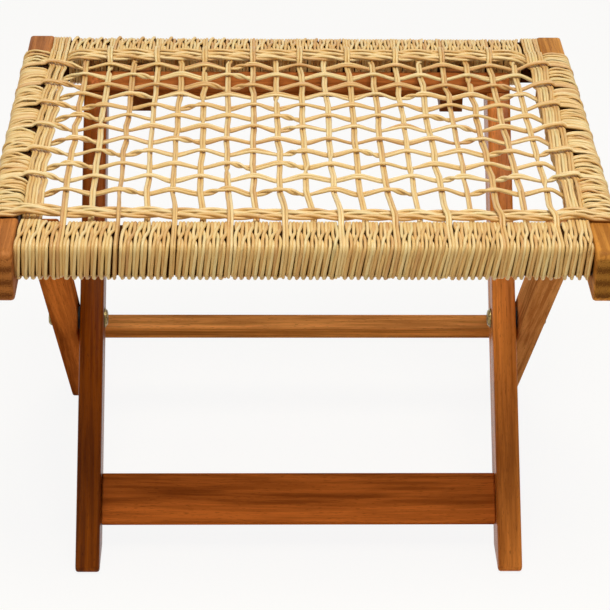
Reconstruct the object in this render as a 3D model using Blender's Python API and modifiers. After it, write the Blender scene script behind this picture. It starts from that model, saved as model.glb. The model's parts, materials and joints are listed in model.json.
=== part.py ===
# Folding stool: two crossed leg frames that scissor on a bolt, under a seat frame woven with cord.
# The seat frame hinges on the tops of the outer legs. At the back it hooks over the top bar of the
# inner legs, which slides forward under the weave as the legs close.
# Metres, +Z up, +Y to the back, origin on the floor under the leg pivot.

import math

import bmesh
import bpy
from mathutils import Matrix, Vector

# Seat frame
SEAT_HEIGHT = 0.3967  # floor to the top of the side rails
RAIL_LENGTH = 0.500
RAIL_HEIGHT = 0.0527
RAIL_THICKNESS = 0.0262
RAIL_END_RADIUS = 0.011
RAIL_EDGE_RADIUS = 0.003
CROSS_RAIL_DEPTH = 0.044
CROSS_RAIL_HEIGHT = 0.0297
CROSS_RAIL_DROP = 0.002  # top of the cross rails, below the top of the side rails
CROSS_RAIL_INSET = 0.0155  # face of the cross rails, behind the ends of the side rails
CROSS_TENON_LENGTH = 0.016
CROSS_TENON_HEIGHT = 0.015
CROSS_TENON_DEPTH = 0.032

# Crossed legs
LEG_WIDTH = 0.041
LEG_THICKNESS = 0.024
LEG_EDGE_RADIUS = 0.0025
LEG_PIVOT_HEIGHT = 0.1857
INNER_LEG_SPACING = 0.399  # clear width between the inner legs
FOOT_RADIUS = 0.006
LEG_END_CLEARANCE = 0.003  # rounded leg top to the cord of the cross rail beside it
LEG_TOP_CLEARANCE = 0.0095  # rounded leg top to the net above it

# Stretchers that tie each pair of legs
FRONT_STRETCHER_BREADTH = 0.051
FRONT_STRETCHER_THICKNESS = 0.017
FRONT_STRETCHER_RISE = 0.0384  # lower edge above the floor, measured along the leg
FRONT_STRETCHER_INSET = 0.0114  # its face behind the front face of the leg
STRETCHER_TENON_LENGTH = 0.014
STRETCHER_TENON_SHOULDER = 0.004
REAR_STRETCHER_BREADTH = 0.0345
REAR_STRETCHER_THICKNESS = 0.017
REAR_STRETCHER_RISE = 0.108
TOP_BAR_BREADTH = 0.023
TOP_BAR_THICKNESS = 0.018
TOP_BAR_CLEARANCE = 0.0015  # upper edge of the bar to the net above it
STRETCHER_EDGE_RADIUS = 0.002

# Cleats under the rear rail, which hook over the top bar
CLEAT_WIDTH = 0.024
CLEAT_INSET = 0.0345  # middle of a cleat, inside the inner leg beside it
CLEAT_DROP = 0.0236  # foot of the cleat below the cord of the rear rail
CLEAT_GRIP = 0.034  # depth of the cleat under the rear rail
CLEAT_NOSE_SETBACK = 0.004
CLEAT_RADIUS = 0.004

# Pivots and screws
BOLT_DIAMETER = 0.008
BOLT_HEAD_DIAMETER = 0.020
BOLT_HEAD_HEIGHT = 0.005
BOLT_HEAD_RIM = 0.00175  # straight edge of the head, below its dome
BOLT_DOME_STEPS = 4
NUT_DIAMETER = 0.016
NUT_HEIGHT = 0.006
NUT_CHAMFER = 0.002
WASHER_DIAMETER = 0.023
WASHER_THICKNESS = 0.0021
SPACER_DIAMETER = 0.016
SPACER_LENGTH = 0.0096
SEAT_SCREW_DIAMETER = 0.008
SEAT_SCREW_HEAD_DIAMETER = 0.015
SEAT_SCREW_HEAD_HEIGHT = 0.0035
SEAT_SCREW_BITE = 0.017  # length in the side rail
WOOD_SCREW_DIAMETER = 0.0045
WOOD_SCREW_HEAD_DIAMETER = 0.009
WOOD_SCREW_HEAD_HEIGHT = 0.003
WOOD_SCREW_BITE = 0.014  # length in the second piece
CLEAT_SCREW_STEP = 0.016  # between the two screws of a cleat
STRETCHER_SCREW_STEP = 0.015  # between the two screws at an end of the rear stretcher

# Cord
CORD_DIAMETER = 0.0033
WRAP_THICKNESS = 0.004
WRAP_GROOVE = 0.0013  # depth of the grooves between turns, at the widest face
WRAP_CORNER = 0.0035
NET_STRAND = 0.005  # height of a doubled strand of the net
NET_DROP = 0.0015  # middle of the net below the top of the side rails
WARP_PITCH = 0.0249
WEFT_PITCH = 0.0268
WEFT_SHIFT = 0.0147  # middle of the wefts behind the leg pivot
WRAP_RIB = 0.016  # spacing of the ribs, each a few turns of cord
BAND_CORDS = 6
BAND_CORD_PITCH = 0.0029

# Clearances
FIT = 0.0003  # between faces that touch
RUNNING_FIT = 0.0006  # round the seat screws, which turn in the legs
PLUG = 0.010  # extra length of cutters past the face they open

# Fineness of the meshes
WELD = 1e-5  # points nearer than this are one point
SLIVER = 1e-6  # edges shorter than this are taken out
FLAT_ANGLE = 1e-3  # faces that turn less than this are one face
ROUND_END = 0.999  # radius of a round end, as a share of half its width
ROUND_STEPS = 20
SMALL_ROUND_STEPS = 12
ARC_STEPS = 6
EDGE_STEPS = 1  # extra steps across a softened edge

# Stations across the width, from the middle outwards
INNER_LEG_IN = INNER_LEG_SPACING / 2
INNER_LEG_OUT = INNER_LEG_IN + LEG_THICKNESS
OUTER_LEG_IN = INNER_LEG_OUT + WASHER_THICKNESS + 2 * FIT
OUTER_LEG_OUT = OUTER_LEG_IN + LEG_THICKNESS
RAIL_IN = OUTER_LEG_OUT + SPACER_LENGTH + 2 * FIT
RAIL_MIDDLE = RAIL_IN + RAIL_THICKNESS / 2
BAND_WIDTH = (BAND_CORDS - 1) * BAND_CORD_PITCH + CORD_DIAMETER
SIDE_BAND_MIDDLE = RAIL_IN - WRAP_THICKNESS - FIT - BAND_WIDTH / 2
FIELD_WIDTH = 2 * SIDE_BAND_MIDDLE - BAND_WIDTH
CLEAT_MIDDLE = INNER_LEG_IN - CLEAT_INSET

# Stations from front to back, measured from the leg pivot
CROSS_RAIL_MIDDLE = RAIL_LENGTH / 2 - CROSS_RAIL_INSET - CROSS_RAIL_DEPTH / 2
CROSS_WRAP_IN = CROSS_RAIL_MIDDLE - CROSS_RAIL_DEPTH / 2 - WRAP_THICKNESS
SEAT_PIVOT_REACH = CROSS_WRAP_IN - LEG_END_CLEARANCE - LEG_WIDTH / 2
END_BAND_MIDDLE = CROSS_WRAP_IN - FIT - BAND_WIDTH / 2
FIELD_DEPTH = 2 * END_BAND_MIDDLE - BAND_WIDTH

# Levels above the floor
CROSS_RAIL_LEVEL = SEAT_HEIGHT - CROSS_RAIL_DROP - CROSS_RAIL_HEIGHT / 2
CROSS_WRAP_BOTTOM = CROSS_RAIL_LEVEL - CROSS_RAIL_HEIGHT / 2 - WRAP_THICKNESS
NET_LEVEL = SEAT_HEIGHT - NET_DROP
NET_BOTTOM = NET_LEVEL - NET_STRAND / 2
SEAT_PIVOT_HEIGHT = NET_BOTTOM - LEG_TOP_CLEARANCE - LEG_WIDTH / 2

# Lean of the legs, and lengths along them from the leg pivot
LEAN = math.atan2(SEAT_PIVOT_REACH, SEAT_PIVOT_HEIGHT - LEG_PIVOT_HEIGHT)
LEG_REACH = math.hypot(SEAT_PIVOT_REACH, SEAT_PIVOT_HEIGHT - LEG_PIVOT_HEIGHT)
FOOT_REACH = LEG_PIVOT_HEIGHT / math.cos(LEAN)
TOP_BAR_RISE = NET_BOTTOM - TOP_BAR_CLEARANCE - SEAT_PIVOT_HEIGHT
TOP_BAR_END = LEG_REACH + (TOP_BAR_RISE - LEG_WIDTH / 2 * math.sin(LEAN)) / math.cos(LEAN)
TOP_BAR_BACK = LEG_WIDTH / 2 - TOP_BAR_THICKNESS

LEG_PIVOT = Vector((0, 0, LEG_PIVOT_HEIGHT))
SEAT_PIVOT = Vector((0, -SEAT_PIVOT_REACH, SEAT_PIVOT_HEIGHT))

# Turns that lay a flat outline's own X, Y and thickness along the directions named
SIDE_VIEW = Matrix(((0, 0, 1, 0), (1, 0, 0, 0), (0, 1, 0, 0), (0, 0, 0, 1)))  # Y, Z, thickness in X
FRONT_VIEW = Matrix.Rotation(math.pi / 2, 4, "X")  # X, Z, thickness in Y
INNER_FRAME = Matrix.Translation(LEG_PIVOT) @ Matrix.Rotation(math.pi / 2 - LEAN, 4, "X")
OUTER_FRAME = Matrix.Translation(LEG_PIVOT) @ Matrix.Rotation(math.pi / 2 + LEAN, 4, "X")

SIDES = (("left", -1), ("right", 1))


def clear_scene():
    for thing in list(bpy.data.objects):
        bpy.data.objects.remove(thing, do_unlink=True)


def new_collection(name):
    made = bpy.data.collections.new(name)
    bpy.context.scene.collection.children.link(made)
    return made


def new_material(name, colour, roughness, metallic):
    made = bpy.data.materials.new(name)
    made.use_nodes = True
    shader = made.node_tree.nodes["Principled BSDF"]
    shader.inputs["Base Color"].default_value = (*colour, 1)
    shader.inputs["Roughness"].default_value = roughness
    shader.inputs["Metallic"].default_value = metallic
    made.diffuse_color = (*colour, 1)
    return made


clear_scene()
STOOL = new_collection("folding_stool")
CUTTERS = new_collection("cutters")
WOOD = new_material("wood", (0.30, 0.11, 0.035), 0.42, 0.0)
CORD = new_material("cord", (0.66, 0.45, 0.18), 0.45, 0.0)
BRASS = new_material("brass", (0.72, 0.50, 0.18), 0.30, 1.0)
STEEL = new_material("steel", (0.56, 0.56, 0.57), 0.32, 1.0)
BLACK = new_material("black_plastic", (0.02, 0.02, 0.02), 0.5, 0.0)


# An empty on each joint's axis carries the pieces that turn about it
def new_body(name, place):
    made = bpy.data.objects.new(name, None)
    made.location = place
    STOOL.objects.link(made)
    return made


OUTER = new_body("outer_frame_axis", (0, 0, 0))
INNER = new_body("inner_frame_axis", LEG_PIVOT)
SEAT = new_body("seat_axis", SEAT_PIVOT)


def place(thing, matrix, body, material):
    thing.data.materials.clear()
    thing.data.materials.append(material)
    thing.matrix_world = matrix
    thing.parent = body
    thing.matrix_parent_inverse = Matrix.Translation(body.location).inverted()
    STOOL.objects.link(thing)
    return thing


def place_cutter(thing, matrix):
    thing.matrix_world = matrix
    thing.hide_render = True
    thing.display_type = "WIRE"
    CUTTERS.objects.link(thing)
    return thing


def cut(thing, cutter):
    step = thing.modifiers.new("Cut " + cutter.name, "BOOLEAN")
    step.operation = "DIFFERENCE"
    step.object = cutter


def join(thing, other):
    step = thing.modifiers.new("Join " + other.name, "BOOLEAN")
    step.operation = "UNION"
    step.object = other


# Corners given as (u, v, radius), with each radius drawn as an arc
def rounded(corners):
    points = []
    for i, (u, v, radius) in enumerate(corners):
        corner = Vector((u, v))
        if radius <= 0:
            points.append(corner)
            continue
        back = (Vector(corners[i - 1][:2]) - corner).normalized()
        ahead = (Vector(corners[(i + 1) % len(corners)][:2]) - corner).normalized()
        half = back.angle(ahead) / 2
        middle = corner + (back + ahead).normalized() * radius / math.sin(half)
        start = corner + back * radius / math.tan(half) - middle
        turn = -math.copysign(math.pi - 2 * half, back.cross(ahead))
        for k in range(ARC_STEPS + 1):
            points.append(middle + Matrix.Rotation(turn * k / ARC_STEPS, 2) @ start)
    return points


# A curve as a mesh, with its caps sewn to its sides
def mesh_of_curve(curve):
    holder = bpy.data.objects.new(curve.name, curve)
    bpy.context.scene.collection.objects.link(holder)
    graph = bpy.context.evaluated_depsgraph_get()
    mesh = bpy.data.meshes.new_from_object(holder.evaluated_get(graph))
    bpy.data.objects.remove(holder)
    work = bmesh.new()
    work.from_mesh(mesh)
    bmesh.ops.remove_doubles(work, verts=work.verts, dist=WELD)
    bmesh.ops.dissolve_degenerate(work, edges=work.edges, dist=SLIVER)
    bmesh.ops.dissolve_limit(work, angle_limit=FLAT_ANGLE, verts=work.verts, edges=work.edges)
    bmesh.ops.recalc_face_normals(work, faces=work.faces)
    work.to_mesh(mesh)
    work.free()
    return mesh


def poly_spline(curve, points, radii=None, closed=False):
    spline = curve.splines.new("POLY")
    spline.points.add(len(points) - 1)
    for i, point in enumerate(points):
        spline.points[i].co = (*point, *(0,) * (3 - len(point)), 1)
        spline.points[i].radius = radii[i] if radii else 1
    spline.use_cyclic_u = closed


# A board: an outline of points with a thickness and softened edges
def board(name, points, thickness, edge_radius):
    curve = bpy.data.curves.new(name, "CURVE")
    curve.dimensions = "2D"
    curve.fill_mode = "BOTH"
    curve.extrude = thickness / 2 - edge_radius
    curve.bevel_depth = edge_radius
    curve.bevel_resolution = EDGE_STEPS
    curve.offset = -edge_radius
    poly_spline(curve, points, closed=True)
    return bpy.data.objects.new(name, mesh_of_curve(curve))


def box(name, low, high):
    mesh = bpy.data.meshes.new(name)
    work = bmesh.new()
    size = Vector(high) - Vector(low)
    middle = (Vector(high) + Vector(low)) / 2
    bmesh.ops.create_cube(work, matrix=Matrix.Translation(middle) @ Matrix.Diagonal((*size, 1)))
    work.to_mesh(mesh)
    work.free()
    return bpy.data.objects.new(name, mesh)


# A turned piece about its own Z, from an outline of (radius, height) that runs down its outside
def turned(name, outline, closed=False, steps=ROUND_STEPS):
    mesh = bpy.data.meshes.new(name)
    edges = [(i, i + 1) for i in range(len(outline) - 1)]
    if closed:
        edges.append((len(outline) - 1, 0))
    mesh.from_pydata([(radius, 0, height) for radius, height in outline], edges, [])
    thing = bpy.data.objects.new(name, mesh)
    spin = thing.modifiers.new("Turn", "SCREW")
    spin.steps = steps
    spin.render_steps = steps
    spin.use_merge_vertices = True
    spin.merge_threshold = WELD
    return thing


def rod(name, radius, low, high):
    return turned(name, ((0, high), (radius, high), (radius, low), (0, low)))


def ring(name, outer, inner, low, high):
    return turned(name, ((outer, high), (outer, low), (inner, low), (inner, high)), closed=True)


# A countersunk screw about Z, with its flat head at height 0 and its shank below
def screw_outline(head, head_height, shank, length, margin=0.0):
    return (
        (0, margin),
        (head + margin, margin),
        (shank + margin, -head_height - margin),
        (shank + margin, -length - margin),
        (0, -length - margin),
    )


def screw_hole(name, sizes, margin, steps, at, pieces):
    hole = screw_outline(*sizes, margin)
    mouth = ((0, PLUG), (hole[1][0], PLUG))
    cutter = place_cutter(turned(name + "_hole", (*mouth, *hole[1:]), steps=steps), at)
    for piece in pieces:
        cut(piece, cutter)


# Legs: a straight board with a round top end, its foot cut level with the floor
def leg_outline(lean, top_reach):
    along = Vector((math.sin(lean), math.cos(lean)))
    across = Vector((-math.cos(lean), math.sin(lean)))
    half = LEG_WIDTH / 2
    corners = []
    for side in (1, -1):
        edge = across * half * side
        down = (-LEG_PIVOT_HEIGHT - edge.y) / along.y
        foot = edge + along * down
        top = edge + along * (top_reach + half)
        pair = [(*foot, FOOT_RADIUS), (*top, half * ROUND_END)]
        corners += pair if side > 0 else reversed(pair)
    return rounded(corners)


def leg(name, lean, inside, side, body):
    points = leg_outline(lean, LEG_REACH)
    middle = Matrix.Translation((side * (inside + LEG_THICKNESS / 2), 0, LEG_PIVOT_HEIGHT))
    made = board(name, points, LEG_THICKNESS, LEG_EDGE_RADIUS)
    return place(made, middle @ SIDE_VIEW, body, WOOD)


# Each scissor pivot: bolt, washer between the legs, and nut on the outside
def leg_pivot(name, side, legs):
    out = Matrix.Translation(LEG_PIVOT) @ Matrix.Rotation(side * math.pi / 2, 4, "Y")
    shank = BOLT_DIAMETER / 2
    head = BOLT_HEAD_DIAMETER / 2
    head_base = INNER_LEG_IN - FIT
    nut_base = OUTER_LEG_OUT + FIT
    nut_top = nut_base + NUT_HEIGHT
    dome_height = BOLT_HEAD_HEIGHT - BOLT_HEAD_RIM
    outline = [(0, nut_top), (shank, nut_top), (shank, head_base), (head, head_base)]
    for k in range(BOLT_DOME_STEPS):
        turn = math.pi / 2 * k / BOLT_DOME_STEPS
        outline.append((head * math.cos(turn), head_base - BOLT_HEAD_RIM - dome_height * math.sin(turn)))
    outline.append((0, head_base - BOLT_HEAD_HEIGHT))
    place(turned(name + "_bolt", outline), out, OUTER, BRASS)
    washer_faces = (INNER_LEG_OUT + FIT, OUTER_LEG_IN - FIT)
    washer = ring(name + "_washer", WASHER_DIAMETER / 2, shank + FIT, *washer_faces)
    place(washer, out, OUTER, BLACK)
    nut_outline = (
        (NUT_DIAMETER / 2 - NUT_CHAMFER, nut_top),
        (NUT_DIAMETER / 2, nut_top - NUT_CHAMFER),
        (NUT_DIAMETER / 2, nut_base),
        (shank + FIT, nut_base),
        (shank + FIT, nut_top),
    )
    place(turned(name + "_nut", nut_outline, closed=True), out, OUTER, BRASS)
    bore = rod(name + "_bore", shank + FIT, INNER_LEG_IN - PLUG, OUTER_LEG_OUT + PLUG)
    place_cutter(bore, out)
    for one in legs:
        cut(one, bore)


# A tongue on each end of a board, across X, and the mortise it fits in each of two pieces
# low and high are the tongue's (Y, Z) corners in the board's own place
def tenons(made, at, face, length, low, high, pieces):
    for (name, side), piece in zip(SIDES, pieces):
        root = side * (face - PLUG)
        tip = side * (face + length)
        ends = sorted((root, tip))
        tongue = box(f"{name}_{made.name}_tenon", (ends[0], *low), (ends[1], *high))
        join(made, place_cutter(tongue, at))
        ends = sorted((root, tip + side * FIT))
        grown_low = [value - FIT for value in low]
        grown_high = [value + FIT for value in high]
        mortise = box(f"{name}_{made.name}_mortise", (ends[0], *grown_low), (ends[1], *grown_high))
        cut(piece, place_cutter(mortise, at))


def rectangle(low, high):
    return [(low[0], low[1]), (high[0], low[1]), (high[0], high[1]), (low[0], high[1])]


# The board that ties the inner legs near the floor, tenoned into them
def front_stretcher(legs):
    low = FRONT_STRETCHER_RISE - FOOT_REACH
    high = low + FRONT_STRETCHER_BREADTH
    back = LEG_WIDTH / 2 - FRONT_STRETCHER_INSET - FRONT_STRETCHER_THICKNESS
    shoulder = INNER_LEG_IN - FIT
    points = rectangle((-shoulder, low), (shoulder, high))
    made = board("front_stretcher", points, FRONT_STRETCHER_THICKNESS, STRETCHER_EDGE_RADIUS)
    at = INNER_FRAME @ Matrix.Translation((0, 0, back + FRONT_STRETCHER_THICKNESS / 2))
    place(made, at, INNER, WOOD)
    tongue = FRONT_STRETCHER_THICKNESS / 2 - STRETCHER_TENON_SHOULDER
    tenon_low = (low + STRETCHER_TENON_SHOULDER, -tongue)
    tenon_high = (high - STRETCHER_TENON_SHOULDER, tongue)
    tenons(made, at, INNER_LEG_IN, STRETCHER_TENON_LENGTH, tenon_low, tenon_high, legs)


# The bar across the tops of the inner legs, let into their front edges
def top_bar(legs):
    low = TOP_BAR_END - TOP_BAR_BREADTH
    half = INNER_LEG_OUT
    points = rectangle((-half, low), (half, TOP_BAR_END))
    made = board("top_bar", points, TOP_BAR_THICKNESS, STRETCHER_EDGE_RADIUS)
    lift = Matrix.Translation((0, 0, LEG_WIDTH / 2 - TOP_BAR_THICKNESS / 2))
    place(made, INNER_FRAME @ lift, INNER, WOOD)
    length = TOP_BAR_THICKNESS + WOOD_SCREW_BITE
    for (name, side), one in zip(SIDES, legs):
        ends = sorted((side * (INNER_LEG_IN - PLUG), side * (INNER_LEG_OUT + PLUG)))
        rebate = box(
            name + "_bar_rebate",
            (ends[0], low - FIT, TOP_BAR_BACK - FIT),
            (ends[1], LEG_REACH + LEG_WIDTH, LEG_WIDTH),
        )
        cut(one, place_cutter(rebate, INNER_FRAME))
        spot = (side * (INNER_LEG_IN + INNER_LEG_OUT) / 2, (low + TOP_BAR_END) / 2, LEG_WIDTH / 2 - FIT)
        at = INNER_FRAME @ Matrix.Translation(spot)
        wood_screw(name + "_top_bar_screw", at, length, INNER, (made, one))


# The batten across the backs of the outer legs
def rear_stretcher(legs):
    low = REAR_STRETCHER_RISE - FOOT_REACH
    high = low + REAR_STRETCHER_BREADTH
    points = rectangle((-OUTER_LEG_OUT, low), (OUTER_LEG_OUT, high))
    made = board("rear_stretcher", points, REAR_STRETCHER_THICKNESS, STRETCHER_EDGE_RADIUS)
    back = -LEG_WIDTH / 2 - FIT - REAR_STRETCHER_THICKNESS
    place(made, OUTER_FRAME @ Matrix.Translation((0, 0, back + REAR_STRETCHER_THICKNESS / 2)), OUTER, WOOD)
    flip = Matrix.Rotation(math.pi, 4, "X")
    length = REAR_STRETCHER_THICKNESS + WOOD_SCREW_BITE
    for (name, side), one in zip(SIDES, legs):
        for level, step in (("lower", -1), ("upper", 1)):
            spot = (
                side * (OUTER_LEG_IN + OUTER_LEG_OUT) / 2,
                (low + high) / 2 + step * STRETCHER_SCREW_STEP / 2,
                back + FIT,
            )
            at = OUTER_FRAME @ Matrix.Translation(spot) @ flip
            wood_screw(f"{name}_{level}_stretcher_screw", at, length, OUTER, (made, one))


def wood_screw(name, at, length, body, pieces):
    sizes = (WOOD_SCREW_HEAD_DIAMETER / 2, WOOD_SCREW_HEAD_HEIGHT, WOOD_SCREW_DIAMETER / 2, length)
    place(turned(name, screw_outline(*sizes), steps=SMALL_ROUND_STEPS), at, body, STEEL)
    screw_hole(name, sizes, FIT, SMALL_ROUND_STEPS, at, pieces)


# Side rails: bare rounded ends, with a mortise for each cross rail
def side_rail(name, side):
    ends = RAIL_LENGTH / 2
    low = -RAIL_HEIGHT
    corners = rectangle((-ends, low), (ends, 0))
    points = rounded([(u, v, RAIL_END_RADIUS) for u, v in corners])
    made = board(name, points, RAIL_THICKNESS, RAIL_EDGE_RADIUS)
    at = Matrix.Translation((side * RAIL_MIDDLE, 0, SEAT_HEIGHT))
    return place(made, at @ SIDE_VIEW, SEAT, WOOD)


# Cross rails: laid flat between the side rails, with a tenon at each end
def cross_rail(name, middle, rails):
    shoulder = RAIL_IN - FIT
    half = CROSS_RAIL_HEIGHT / 2
    points = rectangle((-shoulder, -half), (shoulder, half))
    made = board(name, points, CROSS_RAIL_DEPTH, STRETCHER_EDGE_RADIUS)
    at = Matrix.Translation((0, middle, CROSS_RAIL_LEVEL)) @ FRONT_VIEW
    place(made, at, SEAT, WOOD)
    tongue = (CROSS_TENON_HEIGHT / 2, CROSS_TENON_DEPTH / 2)
    tenons(made, at, RAIL_IN, CROSS_TENON_LENGTH, (-tongue[0], -tongue[1]), tongue, rails)
    return made


# Cord wound round a rail: a ribbed sleeve with a bore for the rail
def cord_wrap(name, width, height, length, at):
    full = (width / 2 + WRAP_THICKNESS, height / 2 + WRAP_THICKNESS)
    short = (full[0] - WRAP_CORNER, full[1] - WRAP_CORNER)
    quarter = ((full[0], short[1]), (short[0], full[1]))
    turns = ((1, 1, 1), (-1, 1, -1), (-1, -1, 1), (1, -1, -1))
    section = bpy.data.curves.new(name + "_section", "CURVE")
    section.dimensions = "2D"
    chamfered = [(su * u, sv * v) for su, sv, order in turns for u, v in quarter[::order]]
    poly_spline(section, chamfered, closed=True)
    profile = bpy.data.objects.new(name + "_section", section)
    bpy.context.scene.collection.objects.link(profile)
    path = bpy.data.curves.new(name, "CURVE")
    path.dimensions = "3D"
    path.twist_mode = "Z_UP"
    path.bevel_mode = "OBJECT"
    path.bevel_object = profile
    path.use_fill_caps = True
    steps = 2 * round(length / WRAP_RIB)
    points = [((k / steps - 0.5) * length, 0, 0) for k in range(steps + 1)]
    valley = 1 - WRAP_GROOVE / max(full)
    poly_spline(path, points, [1 if k % 2 else valley for k in range(steps + 1)])
    made = place(bpy.data.objects.new(name, mesh_of_curve(path)), at, SEAT, CORD)
    bpy.data.objects.remove(profile)
    bore = box(
        name + "_bore",
        (-length / 2 - PLUG, -width / 2 - FIT, -height / 2 - FIT),
        (length / 2 + PLUG, width / 2 + FIT, height / 2 + FIT),
    )
    cut(made, place_cutter(bore, at))
    return made


def cross_wrap(name, middle):
    length = 2 * (RAIL_IN - FIT)
    at = Matrix.Translation((0, middle, CROSS_RAIL_LEVEL))
    return cord_wrap(name, CROSS_RAIL_DEPTH, CROSS_RAIL_HEIGHT, length, at)


def side_wrap(name, side):
    length = 2 * (CROSS_WRAP_IN - FIT)
    middle = Matrix.Translation((side * RAIL_MIDDLE, 0, SEAT_HEIGHT - RAIL_HEIGHT / 2))
    at = middle @ Matrix.Rotation(math.pi / 2, 4, "Z")
    return cord_wrap(name, RAIL_THICKNESS, RAIL_HEIGHT, length, at)


# As many lines as the field between the border bands holds, spread about a middle
def evenly(field, pitch, middle):
    count = math.floor(field / pitch)
    return [middle + (i - (count - 1) / 2) * pitch for i in range(count)]


# The open net of doubled cords: warps run front to back, wefts from side to side
def net():
    edge = NET_STRAND / 2 + FIT
    half_width = RAIL_IN - WRAP_THICKNESS - edge
    half_depth = CROSS_WRAP_IN - edge
    columns = [-half_width, *evenly(FIELD_WIDTH, WARP_PITCH, 0), half_width]
    rows = [-half_depth, *evenly(FIELD_DEPTH, WEFT_PITCH, WEFT_SHIFT), half_depth]
    mesh = bpy.data.meshes.new("woven_seat")
    work = bmesh.new()
    bmesh.ops.create_grid(work, x_segments=len(columns) - 1, y_segments=len(rows) - 1, size=1)
    for vert in work.verts:
        vert.co.x = columns[round((vert.co.x + 1) / 2 * (len(columns) - 1))]
        vert.co.y = rows[round((vert.co.y + 1) / 2 * (len(rows) - 1))]
    work.to_mesh(mesh)
    work.free()
    made = bpy.data.objects.new("woven_seat", mesh)
    strands = made.modifiers.new("Strands", "WIREFRAME")
    strands.thickness = NET_STRAND
    strands.use_boundary = True
    strands.use_even_offset = True
    return place(made, Matrix.Translation((0, 0, NET_LEVEL)), SEAT, CORD)


# A border band: cords lying side by side, as a row of round ridges
def band(name, length, at):
    radius = CORD_DIAMETER / 2
    reach = math.asin(BAND_CORD_PITCH / 2 / radius)
    points = []
    for face in (1, -1):
        for k in range(BAND_CORDS):
            middle = face * ((BAND_CORDS - 1) / 2 - k) * BAND_CORD_PITCH
            start = math.pi / 2 if k == 0 else reach
            stop = math.pi / 2 if k == BAND_CORDS - 1 else reach
            steps = 3 if k in (0, BAND_CORDS - 1) else 2
            for j in range(steps):
                turn = start - (start + stop) * j / steps
                points.append((middle + face * radius * math.sin(turn), face * radius * math.cos(turn)))
    return place(board(name, points, length, 0), at, SEAT, CORD)


def bands():
    level = NET_LEVEL + NET_STRAND / 2 + FIT + CORD_DIAMETER / 2
    for name, side in SIDES:
        at = Matrix.Translation((side * SIDE_BAND_MIDDLE, 0, level)) @ FRONT_VIEW
        band(name + "_band", 2 * (CROSS_WRAP_IN - FIT), at)
    for name, side in (("front", -1), ("rear", 1)):
        at = Matrix.Translation((0, side * END_BAND_MIDDLE, level)) @ SIDE_VIEW
        band(name + "_band", FIELD_WIDTH - 2 * FIT, at)


# Each seat hinge: a countersunk screw through the leg, a spacer bush, and a bite in the side rail
def seat_hinge(name, side, leg_piece, rail, wrap):
    out = Matrix.Translation(SEAT_PIVOT) @ Matrix.Rotation(side * math.pi / 2, 4, "Y")
    head_at = out @ Matrix.Translation((0, 0, OUTER_LEG_IN + FIT)) @ Matrix.Rotation(math.pi, 4, "X")
    length = RAIL_IN - OUTER_LEG_IN + SEAT_SCREW_BITE
    sizes = (SEAT_SCREW_HEAD_DIAMETER / 2, SEAT_SCREW_HEAD_HEIGHT, SEAT_SCREW_DIAMETER / 2, length)
    place(turned(name + "_seat_screw", screw_outline(*sizes)), head_at, SEAT, BRASS)
    screw_hole(name + "_rail_seat_screw", sizes, FIT, ROUND_STEPS, head_at, (rail,))
    screw_hole(name + "_leg_seat_screw", sizes, RUNNING_FIT, ROUND_STEPS, head_at, (leg_piece,))
    bore = SEAT_SCREW_DIAMETER / 2 + FIT
    bush = ring(name + "_seat_spacer", SPACER_DIAMETER / 2, bore, OUTER_LEG_OUT + FIT, RAIL_IN - FIT)
    place(bush, out, SEAT, BLACK)
    gap = rod(name + "_spacer_gap", SPACER_DIAMETER / 2 + FIT, RAIL_IN - WRAP_THICKNESS - PLUG, RAIL_MIDDLE)
    cut(wrap, place_cutter(gap, out))


# Cleats: a block under the rear rail whose nose rests on the top bar
def cleat(name, side, rear_rail, rear_wrap):
    along = Vector((math.sin(LEAN), math.cos(LEAN)))
    across = Vector((-math.cos(LEAN), math.sin(LEAN)))
    pivot = Vector((0, LEG_PIVOT_HEIGHT))
    seat_line = pivot + along * (TOP_BAR_END + FIT)
    nose = seat_line + across * (LEG_WIDTH / 2 - CLEAT_NOSE_SETBACK)
    heel = seat_line + across * TOP_BAR_BACK
    front = CROSS_WRAP_IN - FIT
    back = CROSS_WRAP_IN + CLEAT_GRIP
    under = CROSS_WRAP_BOTTOM - FIT
    foot = CROSS_WRAP_BOTTOM - CLEAT_DROP
    corners = [
        (back, under, 0),
        (front, under, 0),
        (front, nose.y, 0),
        (nose.x, nose.y, 0),
        (heel.x, heel.y, 0),
        (heel.x, foot, CLEAT_RADIUS),
        (back, foot, CLEAT_RADIUS),
    ]
    made = board(name + "_cleat", rounded(corners), CLEAT_WIDTH, 0)
    place(made, Matrix.Translation((side * CLEAT_MIDDLE, 0, 0)) @ SIDE_VIEW, SEAT, WOOD)
    length = under - foot + FIT + WRAP_THICKNESS + WOOD_SCREW_BITE
    flip = Matrix.Rotation(math.pi, 4, "X")
    for end, step in (("front", -1), ("rear", 1)):
        spot = (side * CLEAT_MIDDLE, (front + back) / 2 + step * CLEAT_SCREW_STEP / 2, foot + FIT)
        at = Matrix.Translation(spot) @ flip
        wood_screw(f"{name}_cleat_{end}_screw", at, length, SEAT, (made, rear_wrap, rear_rail))


inner_legs = [leg(name + "_inner_leg", LEAN, INNER_LEG_IN, side, INNER) for name, side in SIDES]
outer_legs = [leg(name + "_outer_leg", -LEAN, OUTER_LEG_IN, side, OUTER) for name, side in SIDES]
for (side_name, side_sign), inner_one, outer_one in zip(SIDES, inner_legs, outer_legs):
    leg_pivot(side_name + "_pivot", side_sign, (inner_one, outer_one))
front_stretcher(inner_legs)
top_bar(inner_legs)
rear_stretcher(outer_legs)

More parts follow.
